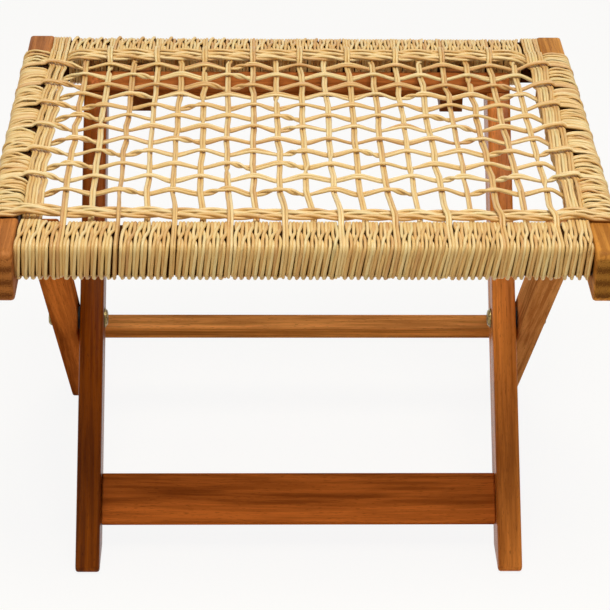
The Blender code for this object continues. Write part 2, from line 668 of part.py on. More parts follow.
side_rails = [side_rail(name + "_side_rail", side) for name, side in SIDES]
side_wraps = [side_wrap(name + "_rail_wrap", side) for name, side in SIDES]
cross_rail("front_rail", -CROSS_RAIL_MIDDLE, side_rails)
cross_wrap("front_rail_wrap", -CROSS_RAIL_MIDDLE)
back_rail = cross_rail("rear_rail", CROSS_RAIL_MIDDLE, side_rails)
back_wrap = cross_wrap("rear_rail_wrap", CROSS_RAIL_MIDDLE)
net()
bands()
for k, (side_name, side_sign) in enumerate(SIDES):
    seat_hinge(side_name, side_sign, outer_legs[k], side_rails[k], side_wraps[k])
    cleat(side_name, side_sign, back_rail, back_wrap)
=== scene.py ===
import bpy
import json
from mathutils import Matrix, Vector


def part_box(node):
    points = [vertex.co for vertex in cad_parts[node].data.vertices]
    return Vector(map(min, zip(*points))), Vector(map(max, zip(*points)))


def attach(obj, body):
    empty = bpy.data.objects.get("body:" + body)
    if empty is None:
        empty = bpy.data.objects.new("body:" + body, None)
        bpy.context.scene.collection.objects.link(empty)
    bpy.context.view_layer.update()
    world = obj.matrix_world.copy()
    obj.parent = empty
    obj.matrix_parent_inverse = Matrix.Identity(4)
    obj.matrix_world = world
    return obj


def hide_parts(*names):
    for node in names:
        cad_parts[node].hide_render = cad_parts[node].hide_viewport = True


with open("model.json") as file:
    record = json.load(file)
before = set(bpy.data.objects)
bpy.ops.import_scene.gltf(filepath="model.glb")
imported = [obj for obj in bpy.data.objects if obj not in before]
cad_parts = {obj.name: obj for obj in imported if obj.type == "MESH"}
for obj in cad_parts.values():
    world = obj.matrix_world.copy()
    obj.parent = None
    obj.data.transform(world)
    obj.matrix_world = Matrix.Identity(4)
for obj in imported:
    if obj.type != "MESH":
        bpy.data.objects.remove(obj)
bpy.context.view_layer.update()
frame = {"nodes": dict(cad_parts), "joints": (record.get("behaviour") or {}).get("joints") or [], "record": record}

import json
import math
import random

import bmesh
import bpy
from mathutils import Matrix, Vector

scene = bpy.context.scene
nodes = frame["nodes"]
hinges = {joint["name"]: Vector(joint["pos_m"]) for joint in frame["joints"]}
legLean = math.atan2(-hinges["seat_tilt"].y, hinges["seat_tilt"].z - hinges["leg_fold"].z)
sides = (("left", -1), ("right", 1))
ends = (("front", -1), ("rear", 1))
print("frame:", len(nodes), "nodes, legs lean", round(math.degrees(legLean), 1), "degrees")


def placed(name, data):
    made = bpy.data.objects.new(name, data)
    scene.collection.objects.link(made)
    return made


def evaluated(made):
    bpy.context.view_layer.update()
    return bpy.data.meshes.new_from_object(made.evaluated_get(bpy.context.evaluated_depsgraph_get()))


class Wire:
    # a socket of a node tree; arithmetic on it adds nodes
    def __init__(self, tree, socket=None):
        self.tree = tree
        self.socket = socket

    def add(self, kind, inputs=None, output=0, **settings):
        node = self.tree.nodes.new(kind)
        for key, value in settings.items():
            if key == "stops":
                ramp = node.color_ramp.elements
                while len(ramp) < len(value):
                    ramp.new(0.5)
                for stop, (place, colour) in zip(ramp, value):
                    stop.position, stop.color = place, colour
            else:
                setattr(node, key, value)
        for key, value in (inputs or {}).items():
            self.plug(node.inputs[key], value)
        return Wire(self.tree, node.outputs[output])

    def plug(self, socket, value):
        if isinstance(value, Wire):
            self.tree.links.new(value.socket, socket)
        elif socket.type == "VECTOR" and isinstance(value, (int, float)):
            socket.default_value = (value,) * 3
        else:
            socket.default_value = value

    def combined(self, operation, *values):
        # Vector Math where one of the values is a vector
        vectors = [part.socket.type == "VECTOR" if isinstance(part, Wire) else isinstance(part, tuple)
                   for part in values]
        kind = "ShaderNodeVectorMath" if any(vectors) else "ShaderNodeMath"
        return self.add(kind, dict(enumerate(values)), operation=operation)

    def calc(self, operation, *values):
        return self.combined(operation, self, *values)

    def __add__(self, other):
        return self.combined("ADD", self, other)

    def __radd__(self, other):
        return self.combined("ADD", other, self)

    def __sub__(self, other):
        return self.combined("SUBTRACT", self, other)

    def __rsub__(self, other):
        return self.combined("SUBTRACT", other, self)

    def __mul__(self, other):
        return self.combined("MULTIPLY", self, other)

    def __rmul__(self, other):
        return self.combined("MULTIPLY", other, self)

    def __truediv__(self, other):
        return self.combined("DIVIDE", self, other)

    def __rtruediv__(self, other):
        return self.combined("DIVIDE", other, self)

    def colour(self, first, second):
        # this value mixes two colours, inputs 6 and 7 of the node
        inputs = {0: self, 6: first, 7: second}
        return self.add("ShaderNodeMix", inputs, 2, data_type="RGBA", clamp_factor=True)

    def between(self, low, high):
        # 0 up to low and 1 from high on, eased
        inputs = {"Value": self, "From Min": low, "From Max": high}
        return self.add("ShaderNodeMapRange", inputs, interpolation_type="SMOOTHSTEP")

    def noise(self, scale, detail=2.0, rough=0.5):
        inputs = {"Vector": self, "Scale": scale, "Detail": detail, "Roughness": rough}
        return self.add("ShaderNodeTexNoise", inputs, "Fac")


noiseMiddle = (0.5, 0.5, 0.5)


def tone(red, green, blue):
    # a colour as read from a picture, made linear
    return tuple(((part / 255 + 0.055) / 1.055) ** 2.4 for part in (red, green, blue)) + (1.0,)


def newFinish(name):
    material = bpy.data.materials.new(name)
    material.use_nodes = True
    wire = Wire(material.node_tree)
    spot = wire.add("ShaderNodeTexCoord", None, "Object")
    return material, wire, wire.tree.nodes["Principled BSDF"], spot


def setShader(wire, shader, values):
    for key, value in values.items():
        wire.plug(shader.inputs[key], value)


def bumped(wire, height, bump):
    distance, strength = bump
    inputs = {"Height": height, "Distance": distance, "Strength": strength}
    return wire.add("ShaderNodeBump", inputs, "Normal")


cordLook = {
    "tones": ((0.0, tone(198, 144, 80)), (0.22, tone(220, 176, 104)), (0.5, tone(230, 194, 122)),
              (0.8, tone(240, 212, 150)), (1.0, tone(220, 202, 138))),
    "toneMix": (0.8, 0.4, -0.1),  # shares of the strand's tone and of patches, start
    "streak": tone(188, 132, 68), "streakRange": (0.5, 0.72), "streakShare": 0.6,
    "pale": tone(247, 227, 176), "paleRange": (0.55, 0.75), "paleShare": 0.5,
    "roughness": 0.33, "roughSpread": 0.16, "gloss": 0.65,
    "bumpMix": (0.6, 0.4),
    "bump": (0.0004, 0.5),  # metres, strength
    "runScale": 16.0,  # along a strand, per metre
    "strandStep": 40.0,  # keeps the streaks of two strands apart
    "fibreScale": 2.4, "fineScale": 4.0, "fineAround": 3.0, "patchScale": 38.0,
}


def cordFinish(look):
    material, wire, shader, spot = newFinish("strawCord")
    tint, run, around = (wire.add("ShaderNodeAttribute", None, output, attribute_name=name) for name, output
                         in (("cordTone", "Fac"), ("cordRun", "Fac"), ("cordAround", "Vector")))
    rise = wire.add("ShaderNodeCombineXYZ", {"Z": run * look["runScale"] + tint * look["strandStep"]})
    fibre = (around + rise).noise(look["fibreScale"], detail=3.0, rough=0.6)
    fine = (around * look["fineAround"] + rise).noise(look["fineScale"], rough=0.6)
    patch = spot.noise(look["patchScale"])
    tintShare, patchShare, start = look["toneMix"]
    place = tint * tintShare + patch * patchShare + start
    shade = wire.add("ShaderNodeValToRGB", {"Fac": place}, "Color", stops=look["tones"])
    shade = (fibre.between(*look["streakRange"]) * look["streakShare"]).colour(shade, look["streak"])
    shade = (fine.between(*look["paleRange"]) * look["paleShare"]).colour(shade, look["pale"])
    fibreBump, fineBump = look["bumpMix"]
    setShader(wire, shader, {
        "Base Color": shade,
        "Roughness": look["roughness"] + fibre * look["roughSpread"],
        "Normal": bumped(wire, fibre * fibreBump + fine * fineBump, look["bump"]),
        "Specular IOR Level": look["gloss"],
    })
    return material


strawCord = cordFinish(cordLook)

strandForm = {
    "smoothing": 4,  # steps of a curve from one station to the next
    "driftScale": 45.0,
    "driftDetail": 1.0,
    "driftApart": 30.0,  # keeps the wander of two strands apart
}


def cordTree():
    # guide lines become bundles of strands, turned about the line by its "turn"
    tree = bpy.data.node_groups.new("cordStrands", "GeometryNodeTree")
    face = tree.interface
    face.new_socket("Guides", in_out="INPUT", socket_type="NodeSocketGeometry")
    for name, kind in (("Strands", "Int"), ("Sides", "Int"), ("Seed", "Int"), ("Spread", "Float"),
                       ("Cord Diameter", "Float"), ("Spacing", "Float"), ("Wander", "Float"),
                       ("Material", "Material")):
        face.new_socket(name, in_out="INPUT", socket_type="NodeSocket" + kind)
    face.new_socket("Cords", in_out="OUTPUT", socket_type="NodeSocketGeometry")
    wire = Wire(tree)
    start = tree.nodes.new("NodeGroupInput")
    give = {socket.name: Wire(tree, socket) for socket in start.outputs if socket.name}

    def make(kind, *inputs, **settings):
        return wire.add("GeometryNode" + kind, *inputs, **settings)

    def named(name, kind):
        return make("InputNamedAttribute", {"Name": name}, "Attribute", data_type=kind)

    def keep(geometry, name, kind, value):
        inputs = {"Geometry": geometry, "Name": name, "Value": value}
        return make("StoreNamedAttribute", inputs, data_type=kind, domain="POINT")

    curve = make("MeshToCurve", {"Mesh": give["Guides"]})
    curve = make("CurveSplineType", {"Curve": curve}, spline_type="CATMULL_ROM")
    curve = make("SetSplineResolution", {"Geometry": curve, "Resolution": strandForm["smoothing"]})
    curve = make("ResampleCurve", {"Curve": curve, "Length": give["Spacing"]}, mode="LENGTH")
    copies = make("DuplicateElements", {"Geometry": curve, "Amount": give["Strands"]}, domain="SPLINE")
    index = Wire(tree, copies.socket.node.outputs["Duplicate Index"])
    # strands lie side by side across the guide where the turn is nought
    angle = named("turn", "FLOAT") + index * (2 * math.pi) / give["Strands"]
    across = named("across", "FLOAT_VECTOR")
    up = make("InputTangent").calc("CROSS_PRODUCT", across).calc("NORMALIZE")
    offset = (across * angle.calc("COSINE") + up * angle.calc("SINE")) * give["Spread"]
    curve = make("SetPosition", {"Geometry": copies, "Offset": offset})
    # each strand wanders and has its own tone, which the guide's "tint" shifts
    chance = wire.add("FunctionNodeRandomValue", {"ID": make("InputIndex"), "Seed": give["Seed"]}, 1)
    chance = make("FieldOnDomain", {0: chance}, domain="CURVE")
    drift = wire.add("ShaderNodeTexNoise", {
        "Vector": make("InputPosition"),
        "W": chance * strandForm["driftApart"],
        "Scale": strandForm["driftScale"],
        "Detail": strandForm["driftDetail"],
    }, "Color", noise_dimensions="4D")
    drift = drift - noiseMiddle
    curve = keep(curve, "cordTone", "FLOAT", (named("tint", "FLOAT") + chance).calc("FRACT"))
    curve = make("SetPosition", {"Geometry": curve, "Offset": drift * give["Wander"]})
    curve = keep(curve, "cordRun", "FLOAT", make("SplineParameter", None, "Length"))
    ring = make("CurvePrimitiveCircle", {"Resolution": give["Sides"], "Radius": give["Cord Diameter"] * 0.5})
    ring = keep(ring, "cordAround", "FLOAT_VECTOR", make("InputPosition").calc("NORMALIZE"))
    cords = make("CurveToMesh", {"Curve": curve, "Profile Curve": ring, "Fill Caps": True})
    for name in ("turn", "across", "tint"):
        cords = make("RemoveAttribute", {"Geometry": cords, "Name": name})
    cords = make("SetShadeSmooth", {"Geometry": cords})
    cords = make("RealizeInstances", {"Geometry": cords})
    cords = make("SetMaterial", {"Geometry": cords, "Material": give["Material"]})
    finish = tree.nodes.new("NodeGroupOutput")
    wire.plug(finish.inputs["Cords"], cords)
    return tree


cordStrands = cordTree()

cordSizes = {
    "Strands": 2,
    "Cord Diameter": 0.0031,
    "Spread": 0.0015,  # strand to the middle of its pair
    "Sides": 8,
    "Spacing": 0.0027,  # rings along a strand
    "Wander": 0.0007,
}
strandRadius = cordSizes["Cord Diameter"] / 2
stationStep = 0.007  # of a route on the flat of a rail


def cordPiece(name, routes, replaced, **changes):
    # a route is a list of (place, turn, across, tint); a longer across spreads its strands
    mesh = bpy.data.meshes.new(name + "Guides")
    places, edges, turns, acrosses, tints = [], [], [], [], []
    for route in routes:
        edges += [(len(places) + k, len(places) + k + 1) for k in range(len(route) - 1)]
        for place, turn, across, tint in route:
            places.append(place)
            turns.append(turn)
            acrosses += across
            tints.append(tint)
    mesh.from_pydata(places, edges, [])
    mesh.attributes.new("turn", "FLOAT", "POINT").data.foreach_set("value", turns)
    mesh.attributes.new("across", "FLOAT_VECTOR", "POINT").data.foreach_set("vector", acrosses)
    mesh.attributes.new("tint", "FLOAT", "POINT").data.foreach_set("value", tints)
    guide = placed(name + "Guides", mesh)
    modifier = guide.modifiers.new("strands", "NODES")
    modifier.node_group = cordStrands
    values = {"Seed": len(name), "Material": strawCord, **cordSizes, **changes}
    for item in cordStrands.interface.items_tree:
        if item.in_out == "INPUT" and item.name in values:
            modifier[item.identifier] = values[item.name]
    finished = evaluated(guide)
    finished.name = name
    bpy.data.objects.remove(guide)
    piece = placed(name, finished)
    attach(piece, "seat")
    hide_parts(*replaced)
    triangles = sum(len(face.vertices) - 2 for face in finished.polygons)
    print("cord:", name, len(routes), "routes,", triangles, "triangles")


alongX, alongY = (1.0, 0.0, 0.0), (0.0, 1.0, 0.0)


def mixed(first, second, share):
    return first + (second - first) * share


def eased(value):
    value = min(1.0, max(0.0, value))
    return value * value * (3 - 2 * value)


def stepped(knots, value):
    for (low, first), (high, second) in zip(knots, knots[1:]):
        if value <= high:
            return mixed(first, second, max(0.0, (value - low) / (high - low)))
    return knots[-1][1]


def fromMiddle(values, share):
    # values at the left end, middle and right end, share from -1 to 1
    left, middle, right = values
    return mixed(middle, right, share) if share > 0 else mixed(middle, left, -share)


def tent(value, middle, reach):
    return max(0, 1 - abs(value - middle) / reach)


def railOf(node, axis, side, corner):
    # the section of a rail: laps 0 and 5 are the middle of its underside, 1 and 2 its inner edges,
    # 3 and 4 its outer edges
    low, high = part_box(node)
    middle, half = (low + high) / 2, (high - low) / 2
    return {"axis": axis, "side": side, "middle": abs(middle[1 - axis]), "half": half[1 - axis],
            "level": middle.z, "rise": half.z, "corner": corner}


def onRail(rail, lap, run, lift):
    # the corners change in the middle of the top and of the outer face
    w, h, c = rail["half"], rail["rise"], rail["corner"][(lap > 2.5) + (lap > 3.5)]
    corners = ((0, -h), (w, -h), (w, h), (-w, h), (-w, -h), (0, -h))
    first = min(4, int(lap))
    inward = mixed(corners[first][0], corners[first + 1][0], lap - first)
    high = mixed(corners[first][1], corners[first + 1][1], lap - first)
    core = Vector((min(w - c, max(c - w, inward)), min(h - c, max(c - h, high))))
    spot = core + (Vector((inward, high)) - core).normalized() * (c + lift)
    out = rail["side"] * (rail["middle"] - spot.x)
    level = rail["level"] + spot.y
    return Vector((run, out, level) if rail["axis"] == 0 else (out, run, level))


def lapStations(rail, first, last):
    w, h = rail["half"], rail["rise"]
    c = max(rail["corner"])
    marks = set()
    for k, length in enumerate((w, 2 * h, 2 * w, 2 * h, w)):
        edge, parts = c / length, max(1, round((length - 2 * c) / stationStep))
        marks.update(k + share for share in (0, edge / 2, 1 - edge / 2, 1))
        marks.update(k + edge + (1 - 2 * edge) * part / parts for part in range(parts + 1))
    return sorted({round(mark, 4) for mark in marks if first <= mark <= last} | {first, last})


# inner edges, upper outer edge, lower outer edge
railCorners = {"side": (0.0055, 0.0055, 0.0055), "cross": (0.0028, 0.0030, 0.0040)}
rails = {name: railOf(name + "_side_rail", 1, side, railCorners["side"]) for name, side in sides}
rails.update({name: railOf(name + "_rail", 0, side, railCorners["cross"]) for name, side in ends})
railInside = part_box("right_side_rail")[0].x
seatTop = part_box("right_side_rail")[1].z

sideWraps = {
    "pitch": 0.00634, "strand": 0.0026,
    "cross": (2.2, 2.85),  # lap at which strands cross
    "crossChance": 0.4, "crossLength": 1.0, "front": -0.1648, "rear": 0.1912,
    "innerLimits": (-0.1525, 0.1845),  # clear of the seat hinge and of the rear rail
    "bunch": 0.0110,  # to the front, at the inner edge before each weft
    "bunchFade": ((2, 1.0), (2.3, 0.74), (2.6, 0.36), (3, 0.0)),  # by the lap
    # to the front at the outer edge, by the place along the seat
    "lean": ((-0.20, 0.0030), (-0.10, 0.0065), (0.0, 0.0085), (0.15, 0.0100), (0.1915, 0.0010)),
    "crown": 0.0012,
    "rough": 0.0014,  # how unevenly high the turns lie
    "jitter": 0.0010,
    "smooth": (2.5, 3.0),  # laps between which the turns come to lie even
    "slotHalf": 0.0034,  # room for a weft on either side of it
    "bunchPower": 1.4,
    "frontBunch": 0.5,  # share of the bunch before the first weft
    "innerLap": 1.55,  # up to which a turn runs straight
    "underCross": (4.1, 4.5),  # lap at which the strands cross back
    "underLength": 0.6, "crossLift": 0.6, "tilt": 0.7,
}


def sideLean(y):
    return stepped(sideWraps["lean"], y)


def crown(lap):
    return sideWraps["crown"] * math.sin(math.pi * min(1, max(0, lap - 2)))


bands = {
    # pairs of a side band: outwards from its middle, up
    "sidePairs": ((-0.0061, 0.0), (0.0, 0.0008), (0.0061, 0.0024)),
    "left": ((-0.25, 0.2478), (-0.19, 0.2480), (-0.131, 0.2491), (-0.067, 0.2515), (0.25, 0.2515)),
    "right": ((-0.25, 0.2529), (0.25, 0.2529)),
    "rearMiddle": 0.2510,  # where a side band lies on the rear rail
    # pairs of an end band: place, level over the side rails
    "front": ((0.1690, 0.0012), (0.1764, 0.0022), (0.1838, 0.0032)),
    "rear": ((0.1760, 0.0030), (0.1822, 0.0040), (0.1884, 0.0052)),
    "slope": {"front": 0.015, "rear": 0.0},  # to the front, per metre to the right
    "bow": {"front": 0.0024, "rear": 0.0},  # outwards, in the middle
    "railPlace": 0.25,  # where the bow ends
    "cornerOver": 0.0040,  # level of a side band on the rear band
    "cornerUnder": -0.0022,
    "sideMarks": (0.2345, 0.1620, 0.1113, 0.0616, 0.0108, -0.0446, -0.0996, -0.1560),
    "shear": 0.0030,  # to the right, from one weft over the band to the next
    "tilts": (0.3, 0.7),  # turn of a pair between two marks
    "endLay": 0.060,  # length of a full turn of a pair
    "rise": 2.0,  # of a strand's radius, over a rail
    "dip": 0.0010, "endDip": 0.0005, "jitter": 0.0004, "startTurn": 6,
    "markHalf": 0.0035,  # half a weft's width over a side band
    "pairRise": 0.5,  # share of a side pair's rise at the rear
    "rearLaps": (2.1, 4.5),  # of a side band on the rear rail
    "frontMiddle": -0.18,  # place whose middle a side band keeps to its end
    "outerLap": 4.5,  # end of the front band on a side rail
    "sideTuck": (0.0095, 0.0060), "endTuck": (0.0100, 0.0055),
    "inside": 0.231,  # half the width between the side bands
    # the front band over a side band: place, rise
    "frontCorner": ((0.2400, 0.0022), (0.2470, 0.0026), (0.2545, 0.0026)),
    # the rear band under a side band: place, share of its level, fall
    "rearCorner": ((0.2350, 0.5, 0.0), (0.2425, 0.0, 0.0022), (0.2490, 0.0, 0.0032)),
}


def sideMiddle(name, y):
    return stepped(bands[name], y)


def endPlace(name, y, x):
    return y + bands["slope"][name] * x + bands["bow"][name] * max(0, 1 - (x / bands["railPlace"]) ** 2)


weave = {
    "level": seatTop - 0.0005,
    "tuck": seatTop - 0.022,  # where a cord ends beside a rail
    "warps": 19, "warpPitch": 0.0251,
    # first, middle and last warp: how far right of even spacing, along the seat
    "warpShift": (
        (-0.240, Vector((0.0058, 0.0086, 0.0040))), (-0.186, Vector((0.0066, 0.0084, 0.0036))),
        (-0.168, Vector((0.0062, 0.0075, -0.0006))), (-0.128, Vector((0.0052, 0.0044, 0.0037))),
        (-0.050, Vector((0.0048, 0.0038, 0.0025))), (0.000, Vector((0.0045, 0.0035, 0.0012))),
        (0.240, Vector((0.0050, 0.0025, 0.0020))),
    ),
    "warpWave": 0.0011,
    "weftPlaces": (0.1620, 0.1365, 0.1113, 0.0878, 0.0616, 0.0360, 0.0108, -0.0171, -0.0446, -0.0724,
                   -0.0996, -0.1276),
    "weftWave": 0.0027,
    "weftBend": ((-0.0055, 0.77), (0.0, 1.0), (0.0055, 0.77)),  # past a warp, share of the wave
    "bandWave": 0.0044,  # a cord that crosses a band
    "weftLevels": (0.0040, 0.0062),  # a weft over a side band, at its inner and outer edge
    "endReach": 0.0092, "sideReach": 0.0072,
    "wallGap": 0.0050,  # of a cord beside a side rail
    "tuckPlace": 0.1860,  # of a cord beside a cross rail
    "slotLift": 1.4,  # of a strand's radius, over a rail
    "railStart": 2.18,  # lap at which cords reach the rail
    "railEnd": 4.6,
    # to the left at the front rail's lower edge, by the share of the way across
    "railLean": ((-1.0, 0.0010), (0.0, 0.0038), (0.55, 0.0056), (0.85, 0.0030), (1.0, 0.0018)),
    "sway": 0.0011,
    "slack": 0.8,  # share of the sway that a weft takes
    "startTilt": 0.3, "warpTilt": 0.25,
    "warpFlip": 0.06,  # chance that strands change sides
    "weftTilt": 0.4, "weftFlip": 0.12,
    "warpHalf": 0.0022,  # half a weft's width
    "underGap": 0.0004,
    "bend": (0.1820, 0.0012),  # place and fall of a warp before it goes down
    # a cord that goes down: below the weave, above its end, end below the tuck
    "warpTuck": (0.0075, 0.006), "weftTuck": (0.0085, 0.004, 0.006),
    "cleats": (0.145, 0.185),  # over which the warps end higher
    "cleatRise": 0.007,
    "slotPlace": 0.236,  # of the slots on a cross rail
    "slotShare": 0.25,  # of the way to its slot, at the inner edge
}
zWeave, zTuck = weave["level"], weave["tuck"]
wefts = list(enumerate(weave["weftPlaces"]))
warps = range(weave["warps"])
slotLift = strandRadius * weave["slotLift"]
dice = random.Random(7)
middleWarp = weave["warps"] // 2
bandRows = {"front": len(wefts), "rear": -1}
sideColumn = -1


def jitter(size):
    return dice.uniform(-1, 1) * size


sway = {(i, j): jitter(weave["sway"])
        for i in range(-1, len(warps) + 1) for j in range(-1, len(wefts) + 1)}


def warpShare(i):
    return (i - middleWarp) / middleWarp


def warpPlace(i, y, j):
    shift = fromMiddle(stepped(weave["warpShift"], y), warpShare(i))
    return (i - middleWarp) * weave["warpPitch"] + shift + sway[i, j]


def tuckLevels(fall, last, end=0.0):
    # of a cord that goes down beside a rail
    return (zWeave - fall, zTuck + last, zTuck - end)


def overRail(name, knots, lift, lastLap):
    # over the top and down the outside; the side rails have a crown
    rail = rails[name]
    return [onRail(rail, lap, stepped(knots, lap), lift + crown(lap) * (rail["axis"] == 1))
            for lap in lapStations(rail, weave["railStart"], lastLap)]


def weftOver(i, j):
    return (i + j) % 2 == 1


def flip(chance):
    return math.pi if dice.random() < chance else 0.0


def warpRoute(i):
    def end(name, sign):
        # from the band outwards, over the rail or down beside it
        j = bandRows[name]
        bandPlace, bandLevel = bands[name][1]
        level = seatTop + bandLevel
        middle = endPlace(name, bandPlace, warpPlace(i, 0, j))
        reach = weave["endReach"]
        x = warpPlace(i, sign * middle, j)
        if weftOver(i, j):
            least, most = weave["cleats"]
            low = zTuck + (weave["cleatRise"] if name == "rear" and least < abs(x) < most else 0.0)
            level -= weave["bandWave"] + weave["underGap"]
            bend, bendFall = weave["bend"]
            fall, last = weave["warpTuck"]
            spots = [(middle - reach, level), (bend, level - bendFall)]
            spots += [(weave["tuckPlace"], z) for z in (level - fall, low + last, low)]
            return [Vector((x, sign * y, z)) for y, z in spots]
        spots = [Vector((warpPlace(i, sign * y, j), sign * y, level + weave["bandWave"]))
                 for y in (middle - reach, middle + reach)]
        slot = warpPlace(i, sign * weave["slotPlace"], j)
        low = slot - stepped(weave["railLean"], warpShare(i)) * (name == "front")
        knots = ((2, mixed(spots[1].x, slot, weave["slotShare"])), (3, slot), (4, low), (5, low))
        return spots + overRail(name, knots, slotLift, weave["railEnd"])

    turn = jitter(weave["startTilt"])
    route = [(place, turn, alongX, 0.0) for place in reversed(end("rear", 1))]
    for j, y in wefts:
        level = zWeave + weave["warpWave"] * (-1 if weftOver(i, j) else 1)
        x = warpPlace(i, y, j)
        turn += flip(weave["warpFlip"]) + jitter(weave["warpTilt"])
        route += [(Vector((x, y + way * weave["warpHalf"], level)), turn, alongX, 0.0) for way in (1, -1)]
    return route + [(place, turn, alongX, 0.0) for place in end("front", -1)]


def weftRoute(j, y):
    def side(name, sign):
        # from the band outwards, over the rail or down beside it
        over = weftOver(sideColumn, j)
        middle = sideMiddle(name, y)
        levels = weave["weftLevels"] if over else (-weave["bandWave"],) * 2
        spots = [Vector((sign * (middle + reach), y, zWeave + level))
                 for reach, level in zip((-weave["sideReach"], weave["sideReach"]), levels)]
        if over:
            knots = ((2, y), (3, y - sideLean(y)), (5, y - sideLean(y)))
            return spots + overRail(name, knots, slotLift, weave["railEnd"])
        x = sign * (railInside - weave["wallGap"])
        return spots[:1] + [Vector((x, y, z)) for z in tuckLevels(*weave["weftTuck"])]

    route = [(place, 0.0, alongY, 0.0) for place in reversed(side("left", -1))]
    turn = math.pi
    for i in warps:
        x = warpPlace(i, y, j)
        rise = weave["weftWave"] * (1 if weftOver(i, j) else -1)
        slack = sway[i, j] * weave["slack"]
        tilt = jitter(weave["weftTilt"])
        for step, share in weave["weftBend"]:
            place = Vector((x + step, y + slack, zWeave + rise * share))
            route.append((place, turn + tilt, alongY, 0.0))
        turn += flip(weave["weftFlip"])
    return route + [(place, turn, alongY, 0.0) for place in side("right", 1)]


cordPiece("seatWarps", [warpRoute(i) for i in warps], ["woven_seat"])
cordPiece("seatWefts", [weftRoute(j, y) for j, y in wefts], ["woven_seat"])

wraps = {
    "pitch": 0.00627, "turnsBetween": 7,
    # at the left end, in the middle and at the right end: shear of the inner edge to the right, lap of
    # the crossing; by the share of the reach: lean of the lower outer edge to the left
    "front": {"reach": railInside - 0.0006, "shear": (0.0028, 0.0, 0.0010), "cross": (2.50, 2.68, 2.66),
              "lean": ((-1.0, 0.0012), (0.0, 0.0042), (0.55, 0.0060), (0.85, 0.0034), (1.0, 0.0022))},
    "rear": {"reach": 0.2395, "shear": (-0.0027, 0.0, 0.0010), "cross": (2.7, 2.5, 2.5),
             "lean": ((-1.0, 0.0), (1.0, 0.0))},
    "crossLength": 0.66, "crossJitter": 0.10,
    "stagger": 0.16,  # laps by which pairs cross later or sooner, in turn
    "widen": 0.42, "widenReach": 0.35,
    # by the lap, in half turns
    "underTurn": ((3.05, 0.0), (3.35, 0.14), (4.0, 0.31), (4.5, 0.38), (4.95, 1.0)),
    "underJitter": 0.12,
    "innerKnot": (0.5, 0.3),  # lower inner edge: share of the shear, of the step before
    "topLap": 3.2,  # up to which a crossing lifts the strands in full
    "lowLift": 0.35, "strand": 0.0033, "crown": 0.0012,
    "crownLaps": (2.35, 0.65),  # middle, reach
    "endRise": 0.0022,  # the last turns lie on the ends of the side bands
    "endStart": 0.236, "endLength": 0.004, "endLaps": (2.0, 0.5), "jitter": 0.0005,
}


def wrapPlaces(slots, reach):
    places, pitch = [], wraps["pitch"]
    for first, second in zip([-reach] + slots, slots + [reach]):
        if first == -reach or second == reach:
            turns = round((second - first) / pitch - 0.5)
            step = (second - first) / (turns + 0.5)
            offset = 0.5 if first == -reach else 1.0
        else:
            turns, offset = wraps["turnsBetween"], 1.0
            step = (second - first) / (turns + 1)
        places += [first + step * (k + offset) for k in range(turns)]
    return places


def crossWrap(name, slots):
    rail, shape = rails[name], wraps[name]
    places = wrapPlaces(slots, shape["reach"])
    across = (-1.0, 0.0, 0.0) if name == "rear" else alongX
    laps, route = lapStations(rail, 0, 5), []
    shearShare, stepShare = wraps["innerKnot"]
    edge = wraps["pitch"] / 3
    for n, place in enumerate(places):
        before = (place - places[n - 1]) / 2 if n else edge
        after = (places[n + 1] - place) / 2 if n + 1 < len(places) else edge
        share = place / shape["reach"]
        shear = fromMiddle(shape["shear"], share) + jitter(wraps["jitter"])
        middle, stagger = fromMiddle(shape["cross"], share), wraps["stagger"] * (-1) ** n
        cross = middle + stagger + jitter(wraps["crossJitter"])
        late = jitter(wraps["underJitter"])
        shift = jitter(wraps["jitter"])
        low = shift - stepped(shape["lean"], share)
        inner = shear * shearShare - before * stepShare
        knots = ((0, -before), (1, inner), (2, shear), (3, shift), (4, low), (5, after))
        atEnd = eased((abs(place) - wraps["endStart"]) / wraps["endLength"])
        rise = wraps["endRise"] * atEnd * (name == "front")
        tint = dice.random()
        for lap in laps[min(n, 1):]:
            turn = math.pi * (2 * n + eased((lap - cross) / wraps["crossLength"] + 0.5)
                              + stepped(wraps["underTurn"], lap + late))
            swell = 1.0 if lap < wraps["topLap"] else wraps["lowLift"]
            lift = strandRadius + cordSizes["Spread"] * abs(math.sin(turn)) * swell
            lift += wraps["crown"] * tent(lap, *wraps["crownLaps"]) + rise * tent(lap, *wraps["endLaps"])
            # a pair spreads where its neighbours cross
            wide = 1 + wraps["widen"] * tent(lap - middle, -stagger, wraps["widenReach"])
            spread = tuple(wide * part for part in across)
            route.append((onRail(rail, lap, place + stepped(knots, lap), lift), turn, spread, tint))
    return route


thickStrand = {"Cord Diameter": wraps["strand"]}
for name, sign in ends:
    row = bandRows[name]
    slots = [warpPlace(i, sign * weave["slotPlace"], row) for i in warps if not weftOver(i, row)]
    cordPiece(name + "RailCord", [crossWrap(name, slots)], [name + "_rail_wrap"], **thickStrand)


